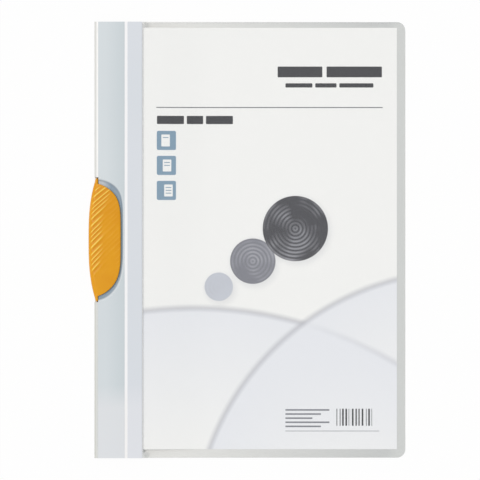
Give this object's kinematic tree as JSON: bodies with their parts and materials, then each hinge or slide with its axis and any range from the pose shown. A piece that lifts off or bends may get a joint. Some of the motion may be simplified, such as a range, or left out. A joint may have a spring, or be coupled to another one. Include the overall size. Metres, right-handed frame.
{
  "type": "clip folder",
  "caption": "Portrait clip folder with a milky back cover and spine strip, a clear front cover and an orange clip that swings out of the spine to release loose sheets.",
  "frame": {"origin": "middle of the back panel's under face", "axes": "+X from the spine to the fore edge, +Y to the head, +Z out of the front; the folder lies on its back"},
  "size_m": [0.2232, 0.307, 0.0068],
  "materials": {
    "milky_sheet": "translucent polypropylene sheet with a fine satin surface",
    "clear_film": "clear polypropylene film, slightly hazy",
    "card": null,
    "orange_plastic": "moulded orange plastic with slanting grip ribs"
  },
  "bodies": {
    "root": {"rear_cover": "milky_sheet", "insert_sheet": "card"},
    "cover": {"hinge_band": "milky_sheet", "front_cover": "clear_film"},
    "clip": {"swing_clip": "orange_plastic"}
  },
  "joints": [
    {"name": "cover_hinge", "type": "hinge", "parent": "root", "child": "cover", "pos_m": [-0.0872, 0, 0.00405], "axis": [0, -1, 0], "range_deg": [0, 160]},
    {"name": "clip_swing", "type": "hinge", "parent": "root", "child": "clip", "pos_m": [-0.1078, 0.0425, 0.0008], "axis": [0, 0, -1], "range_deg": [0, 90]}
  ]
}
